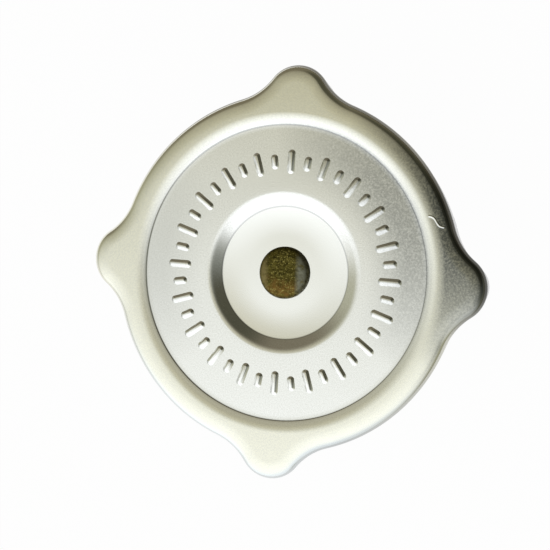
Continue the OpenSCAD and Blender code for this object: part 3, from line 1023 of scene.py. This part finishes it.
@dataclass
class CentreRivet:
    """The brass rivet: a flattened head with a crusted middle, a shank and a formed tail."""

    shank_r: float = 3.0
    head_h: float = 1.2
    tail_h: float = 1.2
    pole_r: float = 0.05
    dome_drop: float = 0.05
    bevel_w: float = 0.25
    bevel_drop: float = 0.36
    side_h: float = 0.35
    bends: tuple[float, ...] = (0.5, 0.4, 0.3, 0.1, 0.1, 0.1, 0.1, 0.3, 1.5)
    chord: float = 0.12
    columns: int = 160
    crust_r: float = 3.0
    crust_h: float = 0.16
    crust_fade: float = 0.25
    crust_lumps: tuple[tuple[float, float, int], ...] = (
        (0.55, 0.9, 3),
        (0.3, 0.4, 5),
        (0.15, 0.2, 7),
    )

    def build(self, material: Material) -> None:
        """Turns the rivet's profile about Z and roughens the middle of its head.

        Inside the crust's radius the top sinks by three layers of lumps, each with a share, a size and a
        seed, and the sinking fades out beyond it.

        Args:
            material: Its finish.
        """
        low, high = box_mm("centre_rivet")
        top, foot, head_r = float(high[2]), float(low[2]), float(high[0])
        under, tail = top - self.head_h, foot + self.tail_h
        corners = [
            (self.pole_r, top),
            (self.crust_r, top - self.dome_drop),
            (head_r - self.bevel_w, top - self.bevel_drop),
            (head_r, under + self.side_h),
            (head_r, under),
            (self.shank_r, under),
            (self.shank_r, tail),
            (head_r, tail),
            (head_r, foot + self.tail_h / 2),
            (self.crust_r, foot),
            (self.pole_r, foot),
        ]
        line = filleted(corners, self.bends, steps=6)
        skin = Surface.lathe(subdivided(line, self.chord), self.columns)
        x, y, z = skin.points.T
        reach = np.hypot(x, y) / self.crust_r
        fade = np.clip((1 + self.crust_fade - reach) / self.crust_fade, 0, 1) * (z > under)
        sink = sum(share * lumps(x, y, size, seed) for share, size, seed in self.crust_lumps)
        skin.points[:, 2] -= fade * self.crust_h * sink
        make_piece("swivel_rivet", skin, material, Body.BELL, Slot.BRASS, "centre_rivet")


@dataclass
class CoilSpring:
    """A coil of round wire with closed, ground ends."""

    name: str
    node: str
    body: Body
    joint: str
    wire: float
    turns: int
    travel: float
    held_at_top: bool
    end_share: float = 0.3
    pitch_share: float = 1.08
    chords: int = 64
    sides: int = 24

    def build(self, material: Material) -> None:
        """Carries a round wire along a helix.

        The wire's middle climbs by a closed pitch over the first and last turn and evenly between; a point
        of the wire past an end face is brought back to it, as grinding does. The pitch and the middle's
        distance from an end face are shares of the wire.

        Args:
            material: Its finish.
        """
        low, high = box_mm(self.node)
        z0, z1 = float(low[2]), float(high[2])
        mean_r = float(high[0]) - self.wire / 2
        sunk, pitch = self.end_share * self.wire, self.pitch_share * self.wire
        u = np.linspace(0, self.turns, self.turns * self.chords + 1)
        knots = [0, 1, self.turns - 1, self.turns]
        climb = np.interp(u, knots, [z0 + sunk, z0 + sunk + pitch, z1 - sunk - pitch, z1 - sunk])
        ring = direction(np.arange(self.sides) * 360 / self.sides) * self.wire / 2
        radius = mean_r + ring[None, :, 0]
        around = radius[..., None] * direction(360 * u)[:, None]
        height = np.clip(climb[:, None] + ring[None, :, 1], z0, z1)
        skin = Surface.grid(around, height, closed_rows=False)
        spring = make_piece(self.name, skin, material, self.body, Slot.SPRING, self.node)
        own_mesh(spring)


@dataclass
class ValveStack:
    """The pressings, seals and turned parts under the shell, whose frame shapes are kept and dressed."""

    pressed: tuple[str, ...] = (
        "swivel_washer",
        "spring_seat",
        "bell_housing",
        "pressure_plate",
        "seal_retainer",
        "stem_cap",
    )
    sprung: tuple[str, ...] = ("spring_diaphragm",)
    turned: tuple[str, ...] = ("vacuum_poppet",)
    moulded: tuple[str, ...] = ("lip_gasket", "pressure_seal", "vacuum_seal")

    def dress(self, nodes: tuple[str, ...], material: Material) -> None:
        """Gives frame nodes a finish.

        Args:
            nodes: Names of the nodes.
            material: Their finish.
        """
        for node in nodes:
            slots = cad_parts[node].data.materials
            slots.clear()
            slots.append(material)
            LOG.info("%s: %s", node, material.name)


# The studio


@dataclass(frozen=True)
class SoftCard:
    """A soft card of the studio: full inside a cone of directions, fading out to a wider one."""

    azimuth: float
    elevation: float
    inner: float
    outer: float
    colour: str
    strength: float = 1.0


@dataclass
class Studio:
    """Floor, soft surroundings and camera."""

    floor_half: float = 2500.0
    ambient: str = "#B6B6A1"
    target: tuple[float, float, float] = (-2.18, -0.61, 25.0)
    distance: float = 310.0
    azimuth: float = 7.74
    tilt: float = 19.38
    roll: float = 4.62
    focal_px: float = 1788.0
    near_clip: float = 10.0
    cards: tuple[SoftCard, ...] = (
        SoftCard(256, 34, 32, 66, "#FBFEFF", 1.34),
        SoftCard(192, 4, 1, 22, "#DFE1E0"),
        SoftCard(103, 59, 26, 35, "#CDCAB4"),
        SoftCard(16, 60, 1, 40, "#80837C"),
        SoftCard(93, 10, 49, 78, "#7C7664"),
        SoftCard(54, 50, 18, 39, "#504F41"),
    )

    def lay_floor(self, material: Material) -> None:
        """Lays a square sheet on Z = 0.

        Args:
            material: Its finish.
        """
        half = self.floor_half * MM
        corners = [(-half, -half, 0), (half, -half, 0), (half, half, 0), (-half, half, 0)]
        mesh = bpy.data.meshes.new("paper_floor")
        mesh.from_pydata(corners, [], [(0, 1, 2, 3)])
        mesh.materials.append(material)
        floor = bpy.data.objects.new("paper_floor", mesh)
        bpy.context.scene.collection.objects.link(floor)

    def surround(self) -> None:
        """Lights the cap from all sides: an even grey, with soft cards mixed in by the angle to each."""
        world = bpy.data.worlds.new("soft_studio")
        world.use_nodes = True
        graph = Graph(world.node_tree)
        towards = graph.add("TexCoord")["Generated"]
        light: Any = linear(self.ambient)
        for card in self.cards:
            rise = math.radians(card.elevation)
            aim = (*(math.cos(rise) * direction(card.azimuth)), math.sin(rise))
            facing = graph.add("VectorMath", {0: towards, 1: aim}, operation="DOT_PRODUCT")["Value"]
            inner, outer = (math.cos(math.radians(angle)) for angle in (card.inner, card.outer))
            inputs = {"Value": facing, "From Min": outer, "From Max": inner}
            share = graph.add("MapRange", inputs, interpolation_type="SMOOTHSTEP")[0]
            colour = (*(c * card.strength for c in linear(card.colour)[:3]), 1.0)
            inputs = {0: share, 6: light, 7: colour}
            light = graph.add("Mix", inputs, data_type="RGBA")[2]
        back = graph.add("Background", {"Color": light, "Strength": 1.0})[0]
        graph.add("OutputWorld", {"Surface": back})
        bpy.context.scene.world = world

    def aim_camera(self) -> None:
        """Sets the camera on a sphere round its target, tilted off Z and rolled about its line of sight."""
        tilt, roll = math.radians(self.tilt), math.radians(self.roll)
        back = Vector((*(math.sin(tilt) * direction(self.azimuth)), math.cos(tilt)))
        right = Vector((-math.sin(roll), math.cos(roll), 0)).cross(back).normalized()
        up = back.cross(right)
        eye = (Vector(self.target) + self.distance * back) * MM
        data = bpy.data.cameras.new("photo_camera")
        data.lens = data.sensor_width * self.focal_px / PHOTO_SIDE
        data.clip_start = self.near_clip * MM
        camera = bpy.data.objects.new("photo_camera", data)
        camera.matrix_world = Matrix((right, up, back)).transposed().to_4x4()
        camera.matrix_world.translation = eye
        bpy.context.scene.collection.objects.link(camera)
        bpy.context.scene.camera = camera
        bpy.context.scene.view_settings.view_transform = "Standard"


def main() -> None:
    """Builds the sub-assemblies in order."""
    logging.basicConfig(level=logging.INFO, format="%(name)s: %(message)s")
    shell = CapShell()
    marks = {"top_z": shell.top_z, "crest_r": shell.crest_r, "step_r": shell.step_r, "dish_r": shell.dish_r}
    plate = SatinPlatedSteel("satin plated steel", **marks).material()
    zinc = DrawnMetal("zinc plated pressing").material()
    wire = DrawnMetal("drawn spring steel", bright="#9EA0A2", tarnish="#6E6C68").material()
    crusted = AgedBrass("aged riveted brass").material()
    brass = DrawnMetal("turned brass", bright="#B99B4E", tarnish="#7D6530", tarnish_size=1.6).material()
    rubber = MouldedRubber("moulded nitrile rubber").material()

    shell.build(plate)
    CentreRivet().build(crusted)
    pressure = {"wire": 2.6, "turns": 5, "travel": 4.0, "held_at_top": True}
    CoilSpring("pressure_coil", "pressure_spring", Body.BELL, "pressure_lift", **pressure).build(wire)
    vacuum = {"wire": 0.5, "turns": 5, "travel": 1.8, "held_at_top": False}
    CoilSpring("vacuum_coil", "vacuum_spring", Body.PRESSURE_VALVE, "vacuum_drop", **vacuum).build(wire)
    stack = ValveStack()
    stack.dress(stack.pressed, zinc)
    stack.dress(stack.sprung, wire)
    stack.dress(stack.turned, brass)
    stack.dress(stack.moulded, rubber)

    studio = Studio()
    studio.lay_floor(WhitePaper("white paper").material())
    studio.surround()
    studio.aim_camera()


if __name__ == "__main__":
    main()
